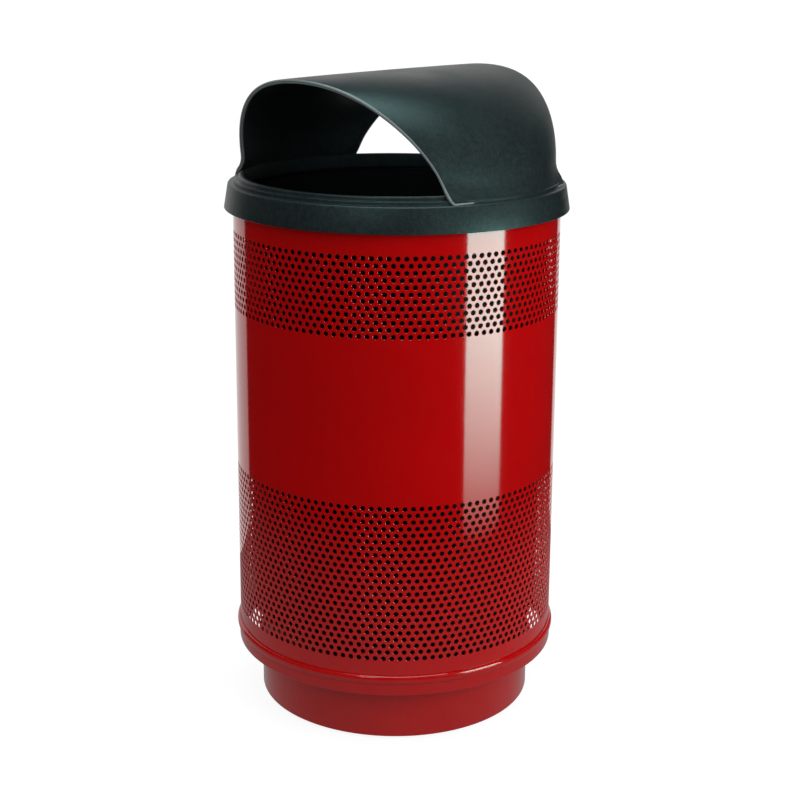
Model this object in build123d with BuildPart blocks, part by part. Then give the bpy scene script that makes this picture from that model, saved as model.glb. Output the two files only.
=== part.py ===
# Round perforated-steel litter bin: a rolled shell in a bottom pan on a recessed base ring,
# four levelling feet, a lift-out plastic liner and a moulded lid with a two-way hood.
# Millimetres, +Z up. The origin is on the floor under the middle of the body.
# The hood's two openings face -Y (front) and +Y (rear).
import math
import os

from build123d import *

os.makedirs("parts", exist_ok=True)

# Shell: one rolled sheet. Its two bands of small round holes are left out of this model.
shell_radius = 258.0
shell_wall = 1.5
shell_height = 743.0

# Bottom pan: a floor, a short wall round the shell, and the rolled bead on that wall's edge.
pan_underside = 93.0
pan_floor = 2.0
pan_wall = 1.5
pan_gap = 0.2
pan_wall_height = 19.0
bead_height = 13.5
bead_proud = 3.4
drain_radius = 12.5
anchor_circle = 300.0
anchor_hole_radius = 7.0
anchor_count = 4
vent_base_gap = 6.0
vent_edge = 8.2
vent_count = 4
vent_first_angle = 45.0
vent_span = 74.0

# Recessed base ring under the pan, hemmed inwards at its lower edge.
base_radius = 222.0
base_wall = 2.0
base_floor_gap = 4.0
base_hem = 6.0

# Levelling feet: a pad moulded on a stud, and the shelf that each stud screws into.
foot_count = 4
foot_first_angle = 45.0
foot_inset = 30.0
pad_radius = 22.0
pad_land = 3.0
pad_height = 9.0
pad_taper = 45.0
stud_radius = 5.0
stud_seat = 5.0
stud_top = 64.0
stud_chamfer = 1.0
stud_collar_height = 5.0
stud_running_gap = 0.05
shelf_underside = 28.0
shelf_thickness = 3.0
shelf_width = 50.0
shelf_reach = 55.0
shelf_flange = 14.0
shelf_hole_gap = 0.5
nut_across_flats = 17.0
weld_nut_height = 8.0
jam_nut_height = 6.0

# Top hoop: a rolled angle inside the shell's upper edge, which carries the lid.
hoop_flange = 7.5
hoop_leg = 20.0
hoop_wall = 2.0

# Liner: a tapered tub with a turned-over rim that clears the hoop.
liner_wall = 3.5
liner_floor_gap = 0.3
liner_bottom_inset = 25.5
liner_corner = 70.0
liner_dish_height = 78.0
liner_below_top = 6.0
liner_rim_gap = 2.0
liner_rim_thickness = 4.0
liner_rim_drop = 16.0
liner_rim_overhang = 6.5
hand_slot_length = 95.0
hand_slot_height = 28.0
hand_slot_drop = 52.0

# Lid collar: a skirt over the shell, a deck with a step and a lip, and the throat.
lid_wall = 4.0
lid_seat_gap = 0.3
lid_skirt_gap = 3.6
lid_skirt_flare = 6.5
lid_skirt_drop = 28.3
lid_deck = 11.0
lid_deck_corner = 3.0
lid_step_inset = 9.5
lid_step_height = 5.5
lid_lip_width = 9.0
lid_lip_height = 6.0
lid_throat_inset = 9.0

# Hood: an arch that runs front to rear, round at its foot and straight along its ridge.
hood_inset = 12.0
hood_wall = 4.0
hood_rise = 170.0
hood_straightening = 0.62
hood_lean = 0.9
hood_wall_share = 0.55
hood_crown_share = 0.68
hood_foot_half_angle = 56.0
hood_overhang = 90.0
hood_end_margin = 4.0
hood_sections = 7

# Heights and radii that follow from the sizes above.
pan_top = pan_underside + pan_floor
pan_inner = shell_radius + pan_gap
pan_outer = pan_inner + pan_wall
shell_inner = shell_radius - shell_wall
shell_top = pan_top + shell_height
base_inner = base_radius - base_wall
vent_inner = base_radius + vent_base_gap
vent_outer = pan_inner - vent_edge
foot_circle_radius = base_inner - foot_inset
shelf_top = shelf_underside + shelf_thickness
shelf_inner = base_inner - shelf_reach
hoop_inner = shell_inner - hoop_flange
liner_base = pan_top + liner_floor_gap
liner_bottom_radius = shell_inner - liner_bottom_inset
liner_rim_radius = hoop_inner - liner_rim_gap
liner_neck_radius = liner_rim_radius - liner_rim_overhang
liner_top = shell_top - liner_below_top
lid_seat = shell_top + lid_seat_gap
lid_deck_top = lid_seat + lid_deck
lid_step_top = lid_deck_top + lid_step_height
lid_lip_top = lid_step_top + lid_lip_height
lid_throat = hoop_inner - lid_throat_inset
hood_radius = shell_radius - hood_inset
hood_base = lid_deck_top
hood_foot = hood_radius * math.cos(math.radians(hood_foot_half_angle))
hood_apex = hood_foot + hood_overhang


def radial_plane(angle, height):
    """Level plane whose X axis points outwards at an angle."""
    turn = math.radians(angle)
    outward = (math.cos(turn), math.sin(turn), 0)
    return Plane(origin=(0, 0, height), x_dir=outward, z_dir=(0, 0, 1))


def arch_poles(station, radius, rise):
    """Poles of the right half of the hood's arch at a distance from the middle, foot to crown."""
    foot = math.sqrt(radius**2 - station**2)
    shoulder = math.sqrt(radius**2 - hood_straightening * station**2)
    lean = foot + hood_lean * (shoulder - foot)
    return [
        (foot, hood_base),
        (lean, hood_base + hood_wall_share * rise),
        (hood_crown_share * shoulder, hood_base + rise),
        (0, hood_base + rise),
    ]


def mirrored(poles):
    """The same poles on the other side of the hood, crown to foot."""
    return [(-across, height) for across, height in reversed(poles)]


# ---- body
with BuildPart() as shell:
    with BuildSketch(Plane.XY.offset(pan_top)):
        Circle(shell_radius)
        Circle(shell_inner, mode=Mode.SUBTRACT)
    extrude(amount=shell_height)
shell.part.label = "shell"
export_step(shell.part, "parts/shell.step")

with BuildPart() as top_hoop:
    with BuildSketch(Plane.XZ):
        with BuildLine():
            Polyline(
                (shell_inner, shell_top),
                (hoop_inner, shell_top),
                (hoop_inner, shell_top - hoop_wall),
                (shell_inner - hoop_wall, shell_top - hoop_wall),
                (shell_inner - hoop_wall, shell_top - hoop_leg),
                (shell_inner, shell_top - hoop_leg),
                close=True,
            )
        make_face()
    revolve(axis=Axis.Z)
top_hoop.part.label = "top_hoop"
export_step(top_hoop.part, "parts/top_hoop.step")

# Curved slots near the floor's edge drain it and let air in. The bead is a rolled edge over
# a wire, so its section is solid and rounded outside.
with BuildLine() as vent_middle:
    CenterArc((0, 0), (vent_inner + vent_outer) / 2, -vent_span / 2, vent_span)
bead_bottom = pan_underside + pan_wall_height
bead_top = bead_bottom + bead_height
with BuildPart() as bottom_pan:
    with BuildSketch(Plane.XY.offset(pan_underside)):
        Circle(pan_outer)
        Circle(drain_radius, mode=Mode.SUBTRACT)
        with PolarLocations(anchor_circle / 2, anchor_count):
            Circle(anchor_hole_radius, mode=Mode.SUBTRACT)
        with PolarLocations(0, vent_count, start_angle=vent_first_angle):
            SlotArc(vent_middle.edges()[0], height=vent_outer - vent_inner, mode=Mode.SUBTRACT)
    extrude(amount=pan_floor)
    with BuildSketch(Plane.XZ):
        with BuildLine():
            Polyline(
                (pan_outer, bead_bottom),
                (pan_outer, pan_underside),
                (pan_inner, pan_underside),
                (pan_inner, bead_top),
            )
            ThreePointArc(
                (pan_inner, bead_top),
                (pan_outer + bead_proud, bead_bottom + bead_height / 2),
                (pan_outer, bead_bottom),
            )
        make_face()
    revolve(axis=Axis.Z)
bottom_pan.part.label = "bottom_pan"
export_step(bottom_pan.part, "parts/bottom_pan.step")

with BuildPart() as base_ring:
    with BuildSketch(Plane.XZ):
        with BuildLine():
            Polyline(
                (base_radius, base_floor_gap),
                (base_radius, pan_underside),
                (base_inner, pan_underside),
                (base_inner, base_floor_gap + base_wall),
                (base_inner - base_hem, base_floor_gap + base_wall),
                (base_inner - base_hem, base_floor_gap),
                close=True,
            )
        make_face()
    revolve(axis=Axis.Z)
base_ring.part.label = "base_ring"
export_step(base_ring.part, "parts/base_ring.step")

# ---- levelling feet
for number in range(1, foot_count + 1):
    foot_angle = foot_first_angle + (number - 1) * 360 / foot_count

    with BuildPart() as foot_shelf:
        with BuildSketch(radial_plane(foot_angle, shelf_underside)):
            Circle(base_inner)
            with Locations((shelf_inner + shelf_reach / 2, 0)):
                Rectangle(shelf_reach, shelf_width, mode=Mode.INTERSECT)
            with Locations((foot_circle_radius, 0)):
                Circle(stud_radius + shelf_hole_gap, mode=Mode.SUBTRACT)
        extrude(amount=shelf_thickness)
        with BuildSketch(radial_plane(foot_angle, shelf_top)):
            with Locations((shelf_inner + shelf_thickness / 2, 0)):
                Rectangle(shelf_thickness, shelf_width)
        extrude(amount=shelf_flange)
    foot_shelf.part.label = f"foot_shelf_{number}"
    export_step(foot_shelf.part, f"parts/foot_shelf_{number}.step")

    with BuildPart() as foot_stud:
        with BuildSketch(radial_plane(foot_angle, stud_seat)):
            with Locations((foot_circle_radius, 0)):
                Circle(stud_radius)
        extrude(amount=stud_top - stud_seat)
        chamfer(foot_stud.edges().sort_by(Axis.Z)[-1], length=stud_chamfer)
        with BuildSketch(radial_plane(foot_angle, pad_height)):
            with Locations((foot_circle_radius, 0)):
                RegularPolygon(nut_across_flats / 2, 6, major_radius=False)
        extrude(amount=stud_collar_height)
    foot_stud.part.label = f"foot_stud_{number}"
    export_step(foot_stud.part, f"parts/foot_stud_{number}.step")

    with BuildPart() as foot_pad:
        with BuildSketch(radial_plane(foot_angle, 0)):
            with Locations((foot_circle_radius, 0)):
                Circle(pad_radius)
        extrude(amount=pad_land)
        with BuildSketch(radial_plane(foot_angle, pad_land)):
            with Locations((foot_circle_radius, 0)):
                Circle(pad_radius)
        extrude(amount=pad_height - pad_land, taper=pad_taper)
        with BuildSketch(radial_plane(foot_angle, stud_seat)):
            with Locations((foot_circle_radius, 0)):
                Circle(stud_radius)
        extrude(amount=pad_height, mode=Mode.SUBTRACT)
    foot_pad.part.label = f"foot_pad_{number}"
    export_step(foot_pad.part, f"parts/foot_pad_{number}.step")

# Each stud passes one nut welded on its shelf and one jam nut run up under the shelf.
with BuildPart() as weld_nuts:
    with BuildSketch(Plane.XY.offset(shelf_top)):
        with PolarLocations(foot_circle_radius, foot_count, start_angle=foot_first_angle):
            RegularPolygon(nut_across_flats / 2, 6, major_radius=False)
            Circle(stud_radius + stud_running_gap, mode=Mode.SUBTRACT)
    extrude(amount=weld_nut_height)
weld_nuts.part.label = "weld_nuts"
export_step(weld_nuts.part, "parts/weld_nuts.step")

with BuildPart() as jam_nuts:
    with BuildSketch(Plane.XY.offset(shelf_underside - jam_nut_height)):
        with PolarLocations(foot_circle_radius, foot_count, start_angle=foot_first_angle):
            RegularPolygon(nut_across_flats / 2, 6, major_radius=False)
            Circle(stud_radius + stud_running_gap, mode=Mode.SUBTRACT)
    extrude(amount=jam_nut_height)
jam_nuts.part.label = "jam_nuts"
export_step(jam_nuts.part, "parts/jam_nuts.step")

# ---- liner
with BuildPart() as tub:
    with BuildSketch(Plane.XZ):
        with BuildLine():
            FilletPolyline(
                (0, liner_base),
                (liner_bottom_radius, liner_base),
                (liner_neck_radius, liner_top),
                (liner_neck_radius - liner_wall, liner_top),
                (liner_bottom_radius - liner_wall, liner_base + liner_wall),
                (0, liner_base + liner_wall),
                radius=(0, liner_corner, 0, 0, liner_corner - liner_wall, 0),
                close=True,
            )
        make_face()
    revolve(axis=Axis.Z)
    with BuildSketch(Plane.XZ):
        with BuildLine():
            Polyline(
                (liner_neck_radius - liner_wall, liner_top),
                (liner_rim_radius, liner_top),
                (liner_rim_radius, liner_top - liner_rim_drop),
                (liner_rim_radius - liner_wall, liner_top - liner_rim_drop),
                (liner_rim_radius - liner_wall, liner_top - liner_rim_thickness),
                (liner_neck_radius - liner_wall, liner_top - liner_rim_thickness),
                close=True,
            )
        make_face()
    revolve(axis=Axis.Z)
    with BuildSketch(Plane.YZ):
        with Locations((0, liner_top - hand_slot_drop)):
            SlotOverall(hand_slot_length, hand_slot_height)
    extrude(amount=liner_rim_radius, both=True, mode=Mode.SUBTRACT)

# The tub is one moulding, divided here at a level line above its rounded corner.
liner_division = Plane.XY.offset(liner_base + liner_dish_height)
with BuildPart() as liner:
    add(tub.part)
    split(bisect_by=liner_division, keep=Keep.TOP)
liner.part.label = "liner"
export_step(liner.part, "parts/liner.step")

with BuildPart() as liner_dish:
    add(tub.part)
    split(bisect_by=liner_division, keep=Keep.BOTTOM)
liner_dish.part.label = "liner_dish"
export_step(liner_dish.part, "parts/liner_dish.step")

# ---- lid
skirt_top_inner = shell_radius + lid_skirt_gap
skirt_top_outer = skirt_top_inner + lid_wall
skirt_bottom = lid_seat - lid_skirt_drop
lip_outer = lid_throat + lid_lip_width
step_outer = skirt_top_outer - lid_step_inset
hood_reach = hood_apex + hood_end_margin
stations = [hood_reach * (2 * step / (hood_sections - 1) - 1) for step in range(hood_sections)]
with BuildPart() as hooded_lid:
    for station in stations:
        poles = arch_poles(station, hood_radius, hood_rise)
        with BuildSketch(Plane.XZ.offset(-station)):
            with BuildLine():
                Bezier(*poles)
                Bezier(*mirrored(poles))
                Line(mirrored(poles)[-1], poles[0])
            make_face()
    loft()
    for station in stations:
        poles = arch_poles(station, hood_radius - hood_wall, hood_rise - hood_wall)
        with BuildSketch(Plane.XZ.offset(-station)):
            with BuildLine():
                Bezier(*poles)
                Bezier(*mirrored(poles))
                Line(mirrored(poles)[-1], poles[0])
            make_face()
    loft(mode=Mode.SUBTRACT)

    # Each opening is cut on a slant that leans outwards from the collar to the ridge.
    for side in (-1, 1):
        with BuildSketch(Plane.YZ):
            with BuildLine():
                Polyline(
                    (side * hood_foot, lid_lip_top),
                    (side * hood_apex, hood_base + hood_rise),
                    (side * 2 * hood_reach, hood_base + hood_rise),
                    (side * 2 * hood_reach, lid_lip_top),
                    close=True,
                )
            make_face()
        extrude(amount=hood_radius, both=True, mode=Mode.SUBTRACT)

    with BuildSketch(Plane.XZ):
        with BuildLine():
            FilletPolyline(
                (skirt_top_inner + lid_skirt_flare, skirt_bottom),
                (skirt_top_outer + lid_skirt_flare, skirt_bottom),
                (skirt_top_outer, lid_deck_top),
                (step_outer, lid_deck_top),
                (step_outer, lid_step_top),
                (lip_outer, lid_step_top),
                (lip_outer, lid_lip_top),
                (lid_throat, lid_lip_top),
                (lid_throat, lid_seat),
                (skirt_top_inner, lid_seat),
                radius=(0, 1, lid_deck_corner, 0, 1, 0, 2, 0, 0, 0),
                close=True,
            )
        make_face()
    revolve(axis=Axis.Z)
hooded_lid.part.label = "hooded_lid"
export_step(hooded_lid.part, "parts/hooded_lid.step")
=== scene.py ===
import math

import bpy
from mathutils import Matrix, Vector


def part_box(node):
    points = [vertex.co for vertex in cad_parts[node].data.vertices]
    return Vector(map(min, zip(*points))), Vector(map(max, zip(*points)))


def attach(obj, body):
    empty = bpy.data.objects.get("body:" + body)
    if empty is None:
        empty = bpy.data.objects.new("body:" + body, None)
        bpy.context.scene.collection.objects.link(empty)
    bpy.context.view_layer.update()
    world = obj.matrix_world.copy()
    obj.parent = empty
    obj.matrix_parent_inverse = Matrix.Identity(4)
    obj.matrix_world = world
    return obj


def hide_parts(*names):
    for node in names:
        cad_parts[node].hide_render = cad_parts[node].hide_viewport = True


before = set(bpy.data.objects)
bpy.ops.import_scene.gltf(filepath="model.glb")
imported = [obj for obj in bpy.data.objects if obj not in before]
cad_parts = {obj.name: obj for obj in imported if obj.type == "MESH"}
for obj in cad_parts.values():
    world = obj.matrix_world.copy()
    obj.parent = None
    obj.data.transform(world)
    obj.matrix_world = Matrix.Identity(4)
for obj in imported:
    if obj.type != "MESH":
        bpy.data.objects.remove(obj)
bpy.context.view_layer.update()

# Metres, +Z up, origin on the floor under the middle of the body. The two openings face -Y and +Y.
shellLow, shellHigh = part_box("shell")
panLow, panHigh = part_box("bottom_pan")
baseLow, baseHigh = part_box("base_ring")
lidLow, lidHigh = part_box("hooded_lid")
bodyRadius = shellHigh.x


def clearSelection():
    if bpy.context.object and bpy.context.object.mode != "OBJECT":
        bpy.ops.object.mode_set(mode="OBJECT")
    bpy.ops.object.select_all(action="DESELECT")


def takeUp(obj):
    clearSelection()
    obj.select_set(True)
    bpy.context.view_layer.objects.active = obj


def nameIt(name):
    obj = bpy.context.object
    obj.name = name
    obj.data.name = name
    return obj


def openMesh(obj, pick=None):
    # into edit mode with the vertices that pass the test selected, or all of them
    takeUp(obj)
    mesh = obj.data
    for part in (mesh.polygons, mesh.edges, mesh.vertices):
        part.foreach_set("select", [pick is None] * len(part))
    if pick:
        mesh.vertices.foreach_set("select", [pick(v.co) for v in mesh.vertices])
    bpy.ops.object.mode_set(mode="EDIT")
    bpy.ops.mesh.select_mode(type="VERT")


def closeMesh():
    bpy.ops.object.mode_set(mode="OBJECT")


def cleanMesh(obj, gap=0.00002):
    openMesh(obj)
    bpy.ops.mesh.remove_doubles(threshold=gap)
    bpy.ops.mesh.normals_make_consistent(inside=False)
    closeMesh()


def applyAll(obj):
    takeUp(obj)
    for modifier in list(obj.modifiers):
        bpy.ops.object.modifier_apply(modifier=modifier.name)


def smoothPiece(obj, degrees=35):
    takeUp(obj)
    bpy.ops.object.shade_smooth_by_angle(angle=math.radians(degrees))


def joinPieces(pieces, name):
    clearSelection()
    for obj in pieces:
        obj.select_set(True)
    bpy.context.view_layer.objects.active = pieces[0]
    bpy.ops.object.join()
    return nameIt(name)


def copyPiece(obj, name):
    twin = obj.copy()
    twin.data = obj.data.copy()
    twin.name = name
    bpy.context.collection.objects.link(twin)
    return twin


def finishPiece(obj, material, body, slot, *nodes):
    obj.data.materials.clear()
    obj.data.materials.append(material)
    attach(obj, body)
    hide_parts(*nodes)


def turnedPiece(name, outline, steps=256, roundSteps=4):
    # outline: (radius, height, corner rounding) in mm, drawn as one filled face and then spun
    clearSelection()
    bpy.ops.mesh.primitive_circle_add(vertices=len(outline), radius=0.1, fill_type="NGON")
    obj = nameIt(name)
    corners = [Vector((r / 1000, 0, z / 1000)) for r, z, rounding in outline]
    for vertex, corner in zip(obj.data.vertices, corners):
        vertex.co = corner
    for corner, (r, z, rounding) in zip(corners, outline):
        if rounding:
            openMesh(obj, lambda co: (co - corner).length < 0.00001)
            bpy.ops.mesh.bevel(offset=rounding / 1000, affect="VERTICES", segments=roundSteps)
            closeMesh()
    openMesh(obj)
    bpy.ops.mesh.delete(type="ONLY_FACE")
    bpy.ops.mesh.select_all(action="SELECT")
    bpy.ops.mesh.spin(steps=steps, angle=math.tau, center=(0, 0, 0), axis=(0, 0, 1))
    closeMesh()
    cleanMesh(obj)
    smoothPiece(obj)
    return obj


# Shader groups that several finishes share.
def newGroup(name, inputs, outputs):
    group = bpy.data.node_groups.new(name, "ShaderNodeTree")
    for socket, kind, value in inputs:
        made = group.interface.new_socket(name=socket, in_out="INPUT", socket_type=kind)
        if value is not None:
            made.default_value = value
    for socket, kind in outputs:
        group.interface.new_socket(name=socket, in_out="OUTPUT", socket_type=kind)
    return group, group.nodes.new("NodeGroupInput"), group.nodes.new("NodeGroupOutput")


def addNode(tree, kind, **values):
    node = tree.nodes.new(kind)
    for name, value in values.items():
        setattr(node, name, value)
    return node


def addNoise(tree, vector, scale, detail=2.0, rough=0.5):
    noise = tree.nodes.new("ShaderNodeTexNoise")
    tree.links.new(vector, noise.inputs["Vector"])
    if isinstance(scale, (int, float)):
        noise.inputs["Scale"].default_value = scale
    else:
        tree.links.new(scale, noise.inputs["Scale"])
    noise.inputs["Detail"].default_value = detail
    noise.inputs["Roughness"].default_value = rough
    return noise.outputs["Fac"]


def addMath(tree, operation, first, second=None, clamp=False):
    node = addNode(tree, "ShaderNodeMath", operation=operation, use_clamp=clamp)
    for socket, value in zip(node.inputs, (first, second)):
        if value is None:
            continue
        if isinstance(value, (int, float)):
            socket.default_value = value
        else:
            tree.links.new(value, socket)
    return node.outputs[0]


def addRange(tree, value, fromLow, fromHigh, toLow, toHigh):
    node = tree.nodes.new("ShaderNodeMapRange")
    tree.links.new(value, node.inputs["Value"])
    for socket, number in zip(node.inputs[1:5], (fromLow, fromHigh, toLow, toHigh)):
        if isinstance(number, (int, float)):
            socket.default_value = number
        else:
            tree.links.new(number, socket)
    return node.outputs["Result"]


def addMix(tree, mask, first, second):
    node = addNode(tree, "ShaderNodeMix", data_type="RGBA")
    tree.links.new(mask, node.inputs["Factor"])
    for socket, colour in ((node.inputs[6], first), (node.inputs[7], second)):
        if isinstance(colour, tuple):
            socket.default_value = colour + (1,)
        else:
            tree.links.new(colour, socket)
    return node.outputs[2]


def makeGrainGroup():
    # moulded plastic: fine pits and a slower mottle
    group, entry, leave = newGroup(
        "mouldGrain",
        [("Vector", "NodeSocketVector", None), ("Scale", "NodeSocketFloat", 500.0)],
        [("Height", "NodeSocketFloat"), ("Speckle", "NodeSocketFloat"), ("Mottle", "NodeSocketFloat")],
    )
    vector, scale = entry.outputs["Vector"], entry.outputs["Scale"]
    fine = addNoise(group, vector, scale, 3.0, 0.6)
    coarse = addNoise(group, vector, addMath(group, "MULTIPLY", scale, 0.37), 2.0)
    slow = addNoise(group, vector, addMath(group, "MULTIPLY", scale, 0.02), 3.0)
    fineShare = addMath(group, "MULTIPLY", fine, 0.6)
    coarseShare = addMath(group, "MULTIPLY", coarse, 0.4)
    both = addMath(group, "ADD", fineShare, coarseShare)
    group.links.new(both, leave.inputs["Height"])
    group.links.new(addRange(group, both, 0.4, 0.62, 0.0, 1.0), leave.inputs["Speckle"])
    group.links.new(addRange(group, slow, 0.3, 0.7, 0.0, 1.0), leave.inputs["Mottle"])
    return group


def makePeelGroup():
    # sprayed or plated skin: shallow waves and a slow change of tone
    group, entry, leave = newGroup(
        "sprayPeel",
        [("Vector", "NodeSocketVector", None), ("Scale", "NodeSocketFloat", 260.0)],
        [("Height", "NodeSocketFloat"), ("Tone", "NodeSocketFloat")],
    )
    vector, scale = entry.outputs["Vector"], entry.outputs["Scale"]
    group.links.new(addNoise(group, vector, scale, 1.0), leave.inputs["Height"])
    slow = addNoise(group, vector, addMath(group, "MULTIPLY", scale, 0.025), 3.0, 0.55)
    group.links.new(addRange(group, slow, 0.3, 0.7, 0.0, 1.0), leave.inputs["Tone"])
    return group


def makeDustGroup():
    # thin street dust: more near the ground, broken up by noise
    group, entry, leave = newGroup(
        "groundDust",
        [("Vector", "NodeSocketVector", None), ("Reach", "NodeSocketFloat", 0.2),
         ("Amount", "NodeSocketFloat", 0.1)],
        [("Mask", "NodeSocketFloat")],
    )
    split = group.nodes.new("ShaderNodeSeparateXYZ")
    group.links.new(entry.outputs["Vector"], split.inputs[0])
    low = addRange(group, split.outputs["Z"], 0.0, entry.outputs["Reach"], 1.0, 0.15)
    clouds = addNoise(group, entry.outputs["Vector"], 38.0, 5.0, 0.65)
    patches = addRange(group, clouds, 0.35, 0.75, 0.1, 1.0)
    lowPatches = addMath(group, "MULTIPLY", low, patches)
    mask = addMath(group, "MULTIPLY", lowPatches, entry.outputs["Amount"], True)
    group.links.new(mask, leave.inputs["Mask"])
    return group


grainGroup = makeGrainGroup()
peelGroup = makePeelGroup()
dustGroup = makeDustGroup()


def newFinish(name):
    material = bpy.data.materials.new(name)
    material.use_nodes = True
    tree = material.node_tree
    place = tree.nodes.new("ShaderNodeTexCoord").outputs["Object"]
    return material, tree, tree.nodes["Principled BSDF"], place


def useGroup(tree, group, place, **values):
    node = addNode(tree, "ShaderNodeGroup", node_tree=group)
    tree.links.new(place, node.inputs["Vector"])
    for name, value in values.items():
        node.inputs[name.capitalize()].default_value = value
    return node


def addBump(tree, shader, height, distance, strength=1.0):
    bump = tree.nodes.new("ShaderNodeBump")
    bump.inputs["Strength"].default_value = strength
    bump.inputs["Distance"].default_value = distance
    tree.links.new(height, bump.inputs["Height"])
    tree.links.new(bump.outputs["Normal"], shader.inputs["Normal"])


redPaint = {
    "colour": (0.440, 0.0012, 0.002),
    "deeper": (0.395, 0.0010, 0.0015),
    "dust": (0.36, 0.10, 0.085),
    "dustReach": 0.30, "dustAmount": 0.08,
    "gloss": 0.07, "dull": 0.11,  # roughness from and to
    "peelScale": 240.0, "peelDepth": 0.000006,
}


blackPaint = {
    "colour": (0.010, 0.010, 0.010), "deeper": (0.006, 0.006, 0.006), "dust": (0.10, 0.095, 0.09),
    "dustReach": 0.30, "dustAmount": 0.10, "gloss": 0.35, "dull": 0.45,
    "peelScale": 240.0, "peelDepth": 0.000006,
}


def makeCoat(name, recipe):
    material, tree, shader, place = newFinish(name)
    peel = useGroup(tree, peelGroup, place, scale=recipe["peelScale"])
    dust = useGroup(tree, dustGroup, place, reach=recipe["dustReach"], amount=recipe["dustAmount"])
    paint = addMix(tree, peel.outputs["Tone"], recipe["colour"], recipe["deeper"])
    dusty = addMix(tree, dust.outputs["Mask"], paint, recipe["dust"])
    tree.links.new(dusty, shader.inputs["Base Color"])
    gloss = addRange(tree, peel.outputs["Tone"], 0.0, 1.0, recipe["gloss"], recipe["dull"])
    rough = addMath(tree, "ADD", gloss, addMath(tree, "MULTIPLY", dust.outputs["Mask"], 0.8))
    tree.links.new(rough, shader.inputs["Roughness"])
    addBump(tree, shader, peel.outputs["Height"], recipe["peelDepth"])
    return material


plasticDust = (0.16, 0.15, 0.14)
plastics = {
    # lidPlastic's edge colour is a painted highlight along the hood's rounded rim
    "lidPlastic": {"colour": (0.0080, 0.0125, 0.0132), "speckle": (0.022, 0.032, 0.033),
                   "gloss": 0.36, "dull": 0.46, "grain": 360.0, "depth": 0.00045, "dust": 0.03,
                   "shine": 0.30, "tint": (0.74, 1.0, 1.0), "edge": (0.20, 0.235, 0.235)},
    "linerPlastic": {"colour": (0.0035, 0.0042, 0.0042), "speckle": (0.0075, 0.0085, 0.0085),
                     "gloss": 0.50, "dull": 0.65, "grain": 420.0, "depth": 0.00008, "dust": 0.02,
                     "shine": 0.12, "tint": (0.9, 1.0, 1.0)},
    "padPlastic": {"colour": (0.018, 0.018, 0.018), "speckle": (0.034, 0.034, 0.033),
                   "gloss": 0.5, "dull": 0.68, "grain": 900.0, "depth": 0.00006, "dust": 0.3,
                   "shine": 0.4, "tint": (1.0, 1.0, 1.0)},
}


def makePlastic(name):
    recipe = plastics[name]
    material, tree, shader, place = newFinish(name)
    shader.inputs["Specular IOR Level"].default_value = recipe["shine"]
    shader.inputs["Specular Tint"].default_value = recipe["tint"] + (1,)
    grain = useGroup(tree, grainGroup, place, scale=recipe["grain"])
    dust = useGroup(tree, dustGroup, place, reach=0.25, amount=recipe["dust"])
    tone = addMath(tree, "MULTIPLY", grain.outputs["Speckle"], 0.55)
    tone = addMath(tree, "ADD", tone, addMath(tree, "MULTIPLY", grain.outputs["Mottle"], 0.25), True)
    colour = addMix(tree, tone, recipe["colour"], recipe["speckle"])
    # edge colour: a painted highlight, laid on the faces that the rim attribute marks
    if "edge" in recipe:
        paintedHighlight = addNode(tree, "ShaderNodeAttribute", attribute_name="edgeWear")
        colour = addMix(tree, paintedHighlight.outputs["Fac"], colour, recipe["edge"])
    dusty = addMix(tree, dust.outputs["Mask"], colour, plasticDust)
    tree.links.new(dusty, shader.inputs["Base Color"])
    rough = addRange(tree, grain.outputs["Mottle"], 0.0, 1.0, recipe["gloss"], recipe["dull"])
    tree.links.new(rough, shader.inputs["Roughness"])
    addBump(tree, shader, grain.outputs["Height"], recipe["depth"])
    return material


zincPlate = {
    "dust": (0.28, 0.26, 0.23),
    "colour": (0.60, 0.61, 0.62), "stain": (0.40, 0.41, 0.40),
    "bright": 0.22, "dull": 0.45, "peelScale": 1400.0, "peelDepth": 0.00001,
}


def makeZinc():
    material, tree, shader, place = newFinish("zincSteel")
    peel = useGroup(tree, peelGroup, place, scale=zincPlate["peelScale"])
    dust = useGroup(tree, dustGroup, place, reach=0.2, amount=0.35)
    colour = addMix(tree, peel.outputs["Tone"], zincPlate["colour"], zincPlate["stain"])
    dusty = addMix(tree, dust.outputs["Mask"], colour, zincPlate["dust"])
    tree.links.new(dusty, shader.inputs["Base Color"])
    metal = addMath(tree, "SUBTRACT", 1.0, dust.outputs["Mask"])
    tree.links.new(metal, shader.inputs["Metallic"])
    rough = addRange(tree, peel.outputs["Tone"], 0.0, 1.0, zincPlate["bright"], zincPlate["dull"])
    tree.links.new(rough, shader.inputs["Roughness"])
    addBump(tree, shader, peel.outputs["Height"], zincPlate["peelDepth"])
    return material


redCoat = makeCoat("redCoat", redPaint)
blackCoat = makeCoat("blackCoat", blackPaint)
lidPlastic = makePlastic("lidPlastic")
linerPlastic = makePlastic("linerPlastic")
padPlastic = makePlastic("padPlastic")
zincSteel = makeZinc()
print("finishes made")


# CAD nodes that keep their own shape, and the finish that each one gets.
keptNodes = {
    "top_hoop": blackCoat, "liner": linerPlastic, "liner_dish": linerPlastic,
    "weld_nuts": zincSteel, "jam_nuts": zincSteel,
}
for number in range(1, 5):
    keptNodes[f"foot_shelf_{number}"] = redCoat
    keptNodes[f"foot_stud_{number}"] = zincSteel
    keptNodes[f"foot_pad_{number}"] = padPlastic
for nodeName, nodeFinish in keptNodes.items():
    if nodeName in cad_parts:
        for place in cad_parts[nodeName].material_slots:
            place.material = nodeFinish
print("kept nodes finished")


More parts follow.
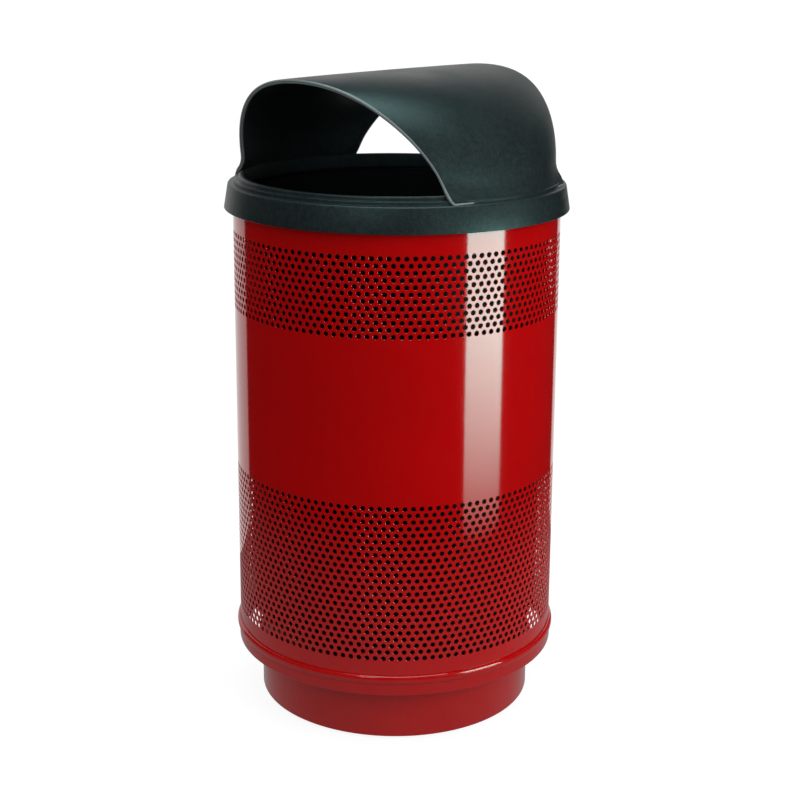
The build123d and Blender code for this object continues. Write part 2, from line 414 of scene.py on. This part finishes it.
# Perforated shell. A hole and the bit of sheet round it is one cell, laid flat and then rolled up.
sheet = {
    "wall": 0.0015,
    "holesRound": 128,
    "holeRadius": 0.0039,
    "lip": 0.00035,           # rounding that the coating leaves at a hole's edge
    "rowStep": 0.010474,
    "lowerBand": 0.1535,      # height of the lowest row of each band
    "lowerRows": 24,
    "upperBand": 0.6580,
    "upperRows": 12,
    "turn": -0.36,            # degrees, places the columns of holes round the shell
}
holePitch = math.tau * bodyRadius / sheet["holesRound"]


def cellRing(shape, depth):
    # twelve points round a cell: on a circle, or on the rectangle that it shares with its neighbours
    wide, tall = holePitch / 2, sheet["rowStep"] / 2
    border = [(1, 0), (1, 1), (0.5, 1), (0, 1), (-0.5, 1), (-1, 1), (-1, 0),
              (-1, -1), (-0.5, -1), (0, -1), (0.5, -1), (1, -1)]
    ring = []
    for step in range(12):
        if shape == "border":
            ring.append(Vector((border[step][0] * wide, depth, border[step][1] * tall)))
        else:
            angle = math.tau * step / 12
            ring.append(Vector((shape * math.cos(angle), depth, shape * math.sin(angle))))
    return ring


def makeHoleCell():
    radius, lip, wall = sheet["holeRadius"], sheet["lip"], sheet["wall"]
    rings = [cellRing("border", 0), cellRing(radius + lip, 0), cellRing(radius, lip),
             cellRing(radius, wall), cellRing("border", wall)]
    clearSelection()
    bpy.ops.mesh.primitive_circle_add(vertices=12, radius=radius, fill_type="NOTHING")
    cell = nameIt("holeCell")
    for vertex, point in zip(cell.data.vertices, rings[0]):
        vertex.co = point
    for before, after in zip(rings, rings[1:]):
        openMesh(cell, lambda co: any((co - point).length < 1e-7 for point in before))
        bpy.ops.mesh.extrude_edges_move(TRANSFORM_OT_translate={"value": (0, 0, 0)})
        closeMesh()
        for vertex in cell.data.vertices:
            if vertex.select:
                nearest = min(range(12), key=lambda step: (vertex.co - before[step]).length)
                vertex.co = after[nearest]
    return cell


def arrayPiece(obj, count, step):
    array = obj.modifiers.new("rows", "ARRAY")
    array.count = count
    array.use_relative_offset = False
    array.use_constant_offset = True
    array.constant_offset_displace = step
    array.use_merge_vertices = True
    array.merge_threshold = 0.000005
    applyAll(obj)


def rollUp(obj):
    # X becomes the way round, Y the depth below the outer face
    for vertex in obj.data.vertices:
        angle = vertex.co.x / bodyRadius + math.radians(sheet["turn"])
        radius = bodyRadius - vertex.co.y
        vertex.co = (radius * math.sin(angle), -radius * math.cos(angle), vertex.co.z)


def drawBand(obj, fromHeight, toHeight):
    # pulls the sheet's two end loops out into a plain band
    openMesh(obj, lambda co: abs(co.z - fromHeight) < 0.00002)
    bpy.ops.mesh.extrude_edges_move(TRANSFORM_OT_translate={"value": (0, 0, toHeight - fromHeight)})
    closeMesh()


def capEnd(obj, height):
    openMesh(obj, lambda co: abs(co.z - height) < 0.00002)
    bpy.ops.mesh.bridge_edge_loops()
    closeMesh()


def perforatedPiece(name, pair, lowestRow, rows, bottom=None, top=None):
    obj = copyPiece(pair, name)
    for vertex in obj.data.vertices:
        vertex.co.z += lowestRow
    arrayPiece(obj, rows // 2, (0, 0, 2 * sheet["rowStep"]))
    rollUp(obj)
    cleanMesh(obj)
    low = lowestRow - sheet["rowStep"] / 2
    high = lowestRow + (rows - 0.5) * sheet["rowStep"]
    if bottom is not None:
        drawBand(obj, low, bottom)
        low = bottom
    if top is not None:
        drawBand(obj, high, top)
        high = top
    capEnd(obj, low)
    capEnd(obj, high)
    cleanMesh(obj)
    smoothPiece(obj)
    finishPiece(obj, redCoat, "frame", "red_coat", "shell")
    return obj


def makeShell():
    row = makeHoleCell()
    arrayPiece(row, sheet["holesRound"], (holePitch, 0, 0))
    upper = copyPiece(row, "secondRow")
    for vertex in upper.data.vertices:
        vertex.co.x += holePitch / 2
        vertex.co.z += sheet["rowStep"]
    pair = joinPieces([row, upper], "rowPair")
    half = sheet["lowerRows"] // 2
    middle = sheet["lowerBand"] + half * sheet["rowStep"]
    seam = sheet["lowerBand"] + (sheet["lowerRows"] - 0.5) * sheet["rowStep"]
    perforatedPiece("shellLowerRows", pair, sheet["lowerBand"], half, bottom=shellLow.z)
    perforatedPiece("shellMiddleRows", pair, middle, half)
    perforatedPiece("shellUpperRows", pair, sheet["upperBand"], sheet["upperRows"],
                    bottom=seam, top=shellHigh.z)
    bpy.data.objects.remove(pair)


makeShell()
print("perforated shell made")


# Bottom pan, with its rolled bead and the holes in its floor.
pan = {
    "floor": 2.0, "wall": 1.5,
    "wallTop": 112.0,         # where the bead starts
    "beadTop": 125.5, "beadProud": 3.4, "beadSteps": 14,
    "drainRadius": 12.5,
    "anchorCircle": 0.150, "anchorRadius": 0.007,
    "ventInner": 0.228, "ventOuter": 0.250, "ventSpan": 74.0,
}


def beadOutline(inner, outer):
    # the arc from the sheet's face, round the bead's belly, back to the pan's wall
    first, last = (inner, pan["beadTop"]), (outer, pan["wallTop"])
    belly = (outer + pan["beadProud"], (pan["beadTop"] + pan["wallTop"]) / 2)
    outline = []
    for step in range(pan["beadSteps"] + 1):
        turn = math.pi * step / pan["beadSteps"]
        along = step / pan["beadSteps"]
        edge = first[0] + (last[0] - first[0]) * along
        height = belly[1] + (first[1] - belly[1]) * math.cos(turn)
        outline.append((edge + (belly[0] - edge) * math.sin(turn) ** 0.8, height, 0))
    return outline


def makeDrill(radius, fromMiddle, turn):
    angle = math.radians(turn)
    place = (fromMiddle * math.cos(angle), fromMiddle * math.sin(angle), panLow.z)
    clearSelection()
    bpy.ops.mesh.primitive_cylinder_add(vertices=32, radius=radius, depth=0.02, location=place)
    return nameIt("drill")


def makeVentBar(turn):
    # the curved part of one slot: an upright rectangle swept round the floor
    clearSelection()
    bpy.ops.mesh.primitive_plane_add(size=1)
    obj = nameIt("ventBar")
    start = math.radians(turn - pan["ventSpan"] / 2)
    for vertex in obj.data.vertices:
        radius = pan["ventInner"] if vertex.co.x < 0 else pan["ventOuter"]
        height = panLow.z + 0.02 * vertex.co.y
        vertex.co = (radius * math.cos(start), radius * math.sin(start), height)
    openMesh(obj)
    bpy.ops.mesh.spin(steps=36, angle=math.radians(pan["ventSpan"]), center=(0, 0, 0), axis=(0, 0, 1))
    bpy.ops.mesh.select_all(action="SELECT")
    bpy.ops.mesh.fill_holes(sides=4)
    closeMesh()
    cleanMesh(obj)
    return obj


def makePan():
    outer = panHigh.x * 1000 - pan["beadProud"]
    inner = outer - pan["wall"]
    low = panLow.z * 1000
    outline = [(pan["drainRadius"], low, 0), (outer, low, 1.2)]
    outline += reversed(beadOutline(inner, outer))
    outline += [(inner, low + pan["floor"], 0), (pan["drainRadius"], low + pan["floor"], 0)]
    obj = turnedPiece("bottomPan", outline)
    middle = (pan["ventInner"] + pan["ventOuter"]) / 2
    drills, bars = [], []
    for number in range(4):
        drills.append(makeDrill(pan["anchorRadius"], pan["anchorCircle"], 90 * number))
        for side in (-0.5, 0.5):
            turn = 45 + 90 * number + side * pan["ventSpan"]
            drills.append(makeDrill(middle - pan["ventInner"], middle, turn))
        bars.append(makeVentBar(45 + 90 * number))
    for cutter in (joinPieces(drills, "panDrills"), joinPieces(bars, "panVents")):
        cut = obj.modifiers.new("cut", "BOOLEAN")
        cut.operation = "DIFFERENCE"
        cut.object = cutter
        applyAll(obj)
        bpy.data.objects.remove(cutter)
    smoothPiece(obj)
    finishPiece(obj, redCoat, "frame", "red_coat", "bottom_pan")


makePan()
print("bottom pan made")


baseRing = {"wall": 2.0, "hem": 6.0}


def makeBaseRing():
    outer, low, high = baseHigh.x * 1000, baseLow.z * 1000, baseHigh.z * 1000
    inner = outer - baseRing["wall"]
    hem = inner - baseRing["hem"]
    obj = turnedPiece("baseRing", [
        (outer, low, 1.8), (outer, high, 0), (inner, high, 0), (inner, low + baseRing["wall"], 0.6),
        (hem, low + baseRing["wall"], 0.5), (hem, low, 0.5),
    ])
    finishPiece(obj, redCoat, "frame", "red_coat", "base_ring")


makeBaseRing()
print("base ring made")


# Lid: a turned collar and the hood that stands on it.
collar = {
    "seat": 838.3,
    "deckTop": 849.3, "stepTop": 854.8, "lipTop": 860.8,
    "stepRadius": 256.1, "lipRadius": 249.0, "throat": 240.0,
    "wall": 4.0, "flare": 6.5,
}


def makeCollar():
    outer, low = lidHigh.x * 1000, lidLow.z * 1000
    top = outer - collar["flare"]
    obj = turnedPiece("lidCollar", [
        (outer - collar["wall"], low, 0.5), (outer, low, 1.2), (top, collar["deckTop"], 3.2),
        (collar["stepRadius"], collar["deckTop"], 0.8), (collar["stepRadius"], collar["stepTop"], 1.3),
        (collar["lipRadius"], collar["stepTop"], 0.8), (collar["lipRadius"], collar["lipTop"], 2.2),
        (collar["throat"], collar["lipTop"], 1.8), (collar["throat"], collar["seat"], 0.5),
        (top - collar["wall"], collar["seat"], 0.5),
    ])
    finishPiece(obj, lidPlastic, "lid", "lid_plastic", "hooded_lid")


makeCollar()
print("lid collar made")


hood = {
    "radius": 0.246, "base": 0.8493, "rise": 0.170, "wall": 0.0062,
    "straightening": 0.62, "lean": 0.9, "wallShare": 0.55, "crownShare": 0.68,
    "footEdge": 0.1376, "apexEdge": 0.2276,   # how far from the middle the opening is cut, low and high
    "edgeCurve": 1.25,                        # how far the cut hollows between those two
    "endCrown": 0.11,                         # the arch is squarer at its two ends
    "flare": -0.008, "flareRise": 0.017,      # the edge draws back along the collar at its foot
    "spread": 0.0098, "spreadRise": 0.030,    # and the wall spreads onto the collar's step
    "gusset": 0.0075, "gussetReach": 0.050, "gussetRise": 0.026,   # more so beside the opening
    "across": 44, "along": 56,                # faces on each half of the arch, and from front to rear
    "rim": 0.0027,
}


def bezierPoint(poles, t):
    s = 1 - t
    return poles[0] * s**3 + 3 * poles[1] * s**2 * t + 3 * poles[2] * s * t**2 + poles[3] * t**3


def hoodPoint(across, along):
    # across runs -1 to 1 from foot to foot, along -1 to 1 from the front edge to the rear one
    t = 1 - abs(across)
    base, rise = hood["base"], hood["rise"]
    height = bezierPoint((base, base + hood["wallShare"] * rise, base + rise, base + rise), t)
    lipTop = collar["lipTop"] / 1000
    climb = max(0, (height - lipTop) / (base + rise - lipTop)) ** hood["edgeCurve"]
    edge = hood["footEdge"] + (hood["apexEdge"] - hood["footEdge"]) * climb
    edge += hood["flare"] * max(0, 1 - (height - base) / hood["flareRise"]) ** 2
    station = along * edge
    foot = math.sqrt(hood["radius"]**2 - station**2)
    shoulder = math.sqrt(hood["radius"]**2 - hood["straightening"] * station**2)
    lean = foot + hood["lean"] * (shoulder - foot)
    crown = hood["crownShare"] + hood["endCrown"] * (station / hood["apexEdge"]) ** 2
    reach = bezierPoint((foot, lean, crown * shoulder, 0), t)
    spread = hood["spread"] * max(0, 1 - (height - base) / hood["spreadRise"]) ** 2
    beside = max(0, 1 - (edge - abs(station)) / hood["gussetReach"])
    low = min(1, max(0, 1 - (height - lipTop) / hood["gussetRise"]))
    spread = 1 + (spread + hood["gusset"] * beside**2 * low**2) / hood["radius"]
    return Vector((math.copysign(reach, across) * spread, station * spread, height))


def makeHood():
    columns, rows = 2 * hood["across"], hood["along"]
    clearSelection()
    bpy.ops.mesh.primitive_grid_add(x_subdivisions=columns, y_subdivisions=rows, size=2)
    obj = nameIt("lidHood")
    for vertex in obj.data.vertices:
        vertex.co = hoodPoint(vertex.co.x, vertex.co.y)
    cleanMesh(obj, 0.000001)
    wall = obj.modifiers.new("wall", "SOLIDIFY")
    wall.thickness = hood["wall"]
    wall.offset = -1
    wall.use_even_offset = True
    rim = obj.modifiers.new("rim", "BEVEL")
    rim.width = hood["rim"]
    rim.segments = 3
    rim.limit_method = "ANGLE"
    rim.angle_limit = math.radians(50)
    obj.data.materials.append(None)
    obj.data.materials.append(None)
    rim.material = 1                          # tells the rounded faces from the rest
    applyAll(obj)
    # the rounded rim faces are marked to carry the lid plastic's painted highlight
    edge = obj.data.attributes.new("edgeWear", "FLOAT", "FACE")
    for face in obj.data.polygons:
        edge.data[face.index].value = float(face.material_index == 1)
        face.material_index = 0
    smoothPiece(obj, 40)
    finishPiece(obj, lidPlastic, "lid", "lid_plastic", "hooded_lid")
    return obj


makeHood()
print("hood made")


# Floor, light and camera.
studio = {
    "floorRadius": 60.0,
    "paper": (0.20, 0.20, 0.20), "paperPatch": (0.18, 0.18, 0.18),
    "paperGlow": 0.88,                       # the paper reads as white from above
    "sheenNear": 0.33, "sheenFar": 0.015,    # what glossy paint sees of the floor
    "sheenFrom": 0.50, "sheenTo": 1.25,
    "paleWorld": 1.02, "softWorld": 0.86, "darkWorld": 0.015,
}


def makeFloor():
    clearSelection()
    bpy.ops.mesh.primitive_circle_add(vertices=96, radius=studio["floorRadius"], fill_type="NGON")
    floor = nameIt("studioFloor")
    material, tree, shader, place = newFinish("palePaper")
    fibre = addNoise(tree, place, 3.0, 4.0)
    tone = addMix(tree, fibre, studio["paper"], studio["paperPatch"])
    tree.links.new(tone, shader.inputs["Base Color"])
    shader.inputs["Roughness"].default_value = 0.9
    shader.inputs["Specular IOR Level"].default_value = 0.1
    shader.inputs["Emission Color"].default_value = (1, 1, 1, 1)
    path = tree.nodes.new("ShaderNodeLightPath")
    glow = addMath(tree, "MULTIPLY", path.outputs["Is Camera Ray"], studio["paperGlow"])
    tree.links.new(glow, shader.inputs["Emission Strength"])
    distance = addNode(tree, "ShaderNodeVectorMath", operation="LENGTH")
    tree.links.new(place, distance.inputs[0])
    level = addRange(tree, distance.outputs["Value"], studio["sheenFrom"], studio["sheenTo"],
                     studio["sheenNear"], studio["sheenFar"])
    sheen = addNode(tree, "ShaderNodeEmission")
    tree.links.new(level, sheen.inputs["Strength"])
    mix = tree.nodes.new("ShaderNodeMixShader")
    tree.links.new(path.outputs["Is Glossy Ray"], mix.inputs[0])
    tree.links.new(shader.outputs[0], mix.inputs[1])
    tree.links.new(sheen.outputs[0], mix.inputs[2])
    tree.links.new(mix.outputs[0], tree.nodes["Material Output"].inputs["Surface"])
    floor.data.materials.append(material)


def makeWorld():
    world = bpy.data.worlds.new("studio")
    bpy.context.scene.world = world
    world.use_nodes = True
    tree = world.node_tree
    path = tree.nodes.new("ShaderNodeLightPath")
    sky = tree.nodes["Background"]
    sky.inputs["Color"].default_value = (1, 1, 1, 1)
    soft = addRange(tree, path.outputs["Is Glossy Ray"], 0.0, 1.0,
                    studio["softWorld"], studio["darkWorld"])
    level = addRange(tree, path.outputs["Is Camera Ray"], 0.0, 1.0, soft, studio["paleWorld"])
    tree.links.new(level, sky.inputs["Strength"])


# azimuth is counted from -Y towards +X, seen from the middle of the body
# radiance is what a mirror would show of the lamp
lamps = {
    "stripLight": {"azimuth": 96.5, "distance": 1.05, "low": 0.02, "high": 0.71, "wide": 0.50,
                   "radiance": 14.0, "colour": (0.60, 1.0, 0.91), "fade": (0.03, 0.62),
                   "diffuse": False, "glossy": True},
    "backPanel": {"azimuth": -129.5, "distance": 0.60, "low": 0.0, "high": 1.3, "wide": 1.54,
                  "radiance": 0.9, "colour": (1.0, 0.98, 0.96), "diffuse": False, "glossy": True},
    "frontFill": {"azimuth": 92.0, "distance": 2.6, "low": 0.5, "high": 2.3, "wide": 1.8,
                  "radiance": 3.9, "colour": (1.0, 1.0, 1.0), "diffuse": True, "glossy": False},
    "rimLight": {"azimuth": 20.0, "distance": 2.3, "low": 1.5, "high": 2.3, "wide": 0.5,
                 "radiance": 6.0, "colour": (0.80, 1.0, 1.0), "diffuse": False, "glossy": True},
    "topLight": {"azimuth": 60.0, "distance": 0.25, "low": 2.5, "high": 2.5, "wide": 1.5,
                 "radiance": 6.2, "colour": (0.70, 1.0, 1.0), "diffuse": False, "glossy": True},
}


def makeLamp(name):
    facts = lamps[name]
    upright = facts["high"] > facts["low"]
    tall = facts["high"] - facts["low"] if upright else facts["wide"]
    data = bpy.data.lights.new(name, "AREA")
    data.shape = "RECTANGLE"
    data.size, data.size_y = facts["wide"], tall
    data.energy = facts["radiance"] * math.pi * facts["wide"] * tall
    data.color = facts["colour"]
    if "fade" in facts:
        # dimmer towards its lower end
        data.use_nodes = True
        tree = data.node_tree
        split = tree.nodes.new("ShaderNodeSeparateXYZ")
        tree.links.new(tree.nodes.new("ShaderNodeNewGeometry").outputs["Parametric"], split.inputs[0])
        start, full = facts["fade"]
        level = addRange(tree, split.outputs["Y"], 0.0, full, start, 1.0)
        tree.links.new(level, tree.nodes["Emission"].inputs["Strength"])
    lamp = bpy.data.objects.new(name, data)
    bpy.context.collection.objects.link(lamp)
    turn = math.radians(facts["azimuth"])
    lamp.location = (facts["distance"] * math.sin(turn), -facts["distance"] * math.cos(turn),
                     (facts["low"] + facts["high"]) / 2)
    lamp.rotation_euler = (math.pi / 2 if upright else 0, 0, turn)
    lamp.visible_camera = False
    lamp.visible_diffuse = facts["diffuse"]
    lamp.visible_glossy = facts["glossy"]


view = {
    "azimuth": 40.0, "distance": 2.4495, "height": 1.2043, "pitch": 14.083,
    "yaw": -0.143, "roll": 0.34, "lens": 70.37, "shift": -0.075,
}


def makeCamera():
    data = bpy.data.cameras.new("mainView")
    data.lens = view["lens"]
    data.sensor_width = 36
    data.shift_y = view["shift"]
    camera = bpy.data.objects.new("mainView", data)
    bpy.context.collection.objects.link(camera)
    turn = math.radians(view["azimuth"])
    camera.location = (view["distance"] * math.sin(turn), -view["distance"] * math.cos(turn),
                       view["height"])
    heading = Matrix.Rotation(turn + math.radians(view["yaw"]), 3, "Z")
    tilt = Matrix.Rotation(math.radians(90 - view["pitch"]), 3, "X")
    roll = Matrix.Rotation(math.radians(view["roll"]), 3, "Z")
    camera.rotation_euler = (heading @ tilt @ roll).to_euler()
    bpy.context.scene.camera = camera


makeFloor()
makeWorld()
for lampName in lamps:
    makeLamp(lampName)
makeCamera()
bpy.context.scene.view_settings.view_transform = "Standard"
print("studio made")
